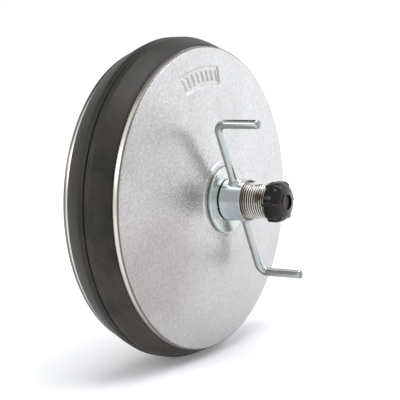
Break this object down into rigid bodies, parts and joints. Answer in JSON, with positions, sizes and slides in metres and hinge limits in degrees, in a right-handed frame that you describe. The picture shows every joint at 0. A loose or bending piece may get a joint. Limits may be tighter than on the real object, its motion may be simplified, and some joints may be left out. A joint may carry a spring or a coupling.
{
  "type": "pipe expansion plug",
  "caption": "Mechanical pipe test plug: two cast aluminium plates squeeze a rubber ring outwards when a long nut with bent handle bars is turned on a hollow threaded stem with a screw cap.",
  "frame": {"origin": "bottom centre of the bounding box: centre of the rear nut's flat end face, on the stem's axis", "axes": "+Z along the stem's axis from the rear nut to the screw cap; +X and +Y across the plates, the lower handle bar 32.5 degrees from +X towards +Y"},
  "size_m": [0.3004, 0.3004, 0.1821],
  "materials": {
    "cast_aluminium": "fine shot-blasted casting with turned rim",
    "ring_rubber": "matt moulded rubber",
    "zinc_steel": "bright zinc plate with a faint blue and yellow cast",
    "stem_steel": "cut thread, bright",
    "cap_plastic": "glossy black moulding",
    "gasket_rubber": "matt flat sheet"
  },
  "bodies": {
    "core": {"rear_nut": "zinc_steel", "rear_washer": "zinc_steel", "rear_gasket": "gasket_rubber", "rear_plate": "cast_aluminium", "inner_nut": "zinc_steel", "stem_tube": "stem_steel", "sealing_ring": "ring_rubber"},
    "front": {"front_plate": "cast_aluminium", "thrust_washer": "zinc_steel"},
    "handle_nut": {"nut_hub": "zinc_steel", "upper_handle_arm": "zinc_steel", "lower_handle_arm": "zinc_steel"},
    "cap_seal": {"cap_gasket": "gasket_rubber"},
    "cap": {"screw_cap": "cap_plastic"}
  },
  "joints": [
    {"name": "plate_slide", "type": "slide", "parent": "core", "child": "front", "axis": [0, 0, -1], "range_m": [0, 0.01], "deforming": ["sealing_ring"]},
    {"name": "nut_turn", "type": "hinge", "parent": "front", "child": "handle_nut", "pos_m": [0, 0, 0.1315], "axis": [0, 0, -1], "range_deg": [0, 1560]},
    {"name": "cap_lift", "type": "slide", "parent": "core", "child": "cap_seal", "axis": [0, 0, 1], "range_m": [0, 0.0115]},
    {"name": "cap_turn", "type": "hinge", "parent": "cap_seal", "child": "cap", "pos_m": [0, 0, 0.1744], "axis": [0, 0, 1], "range_deg": [0, 1795]}
  ],
  "couplings": [
    {"joint": "nut_turn", "follows": "plate_slide", "rad_per_m": 2721.2},
    {"joint": "cap_turn", "follows": "cap_lift", "rad_per_m": 2721.2}
  ]
}
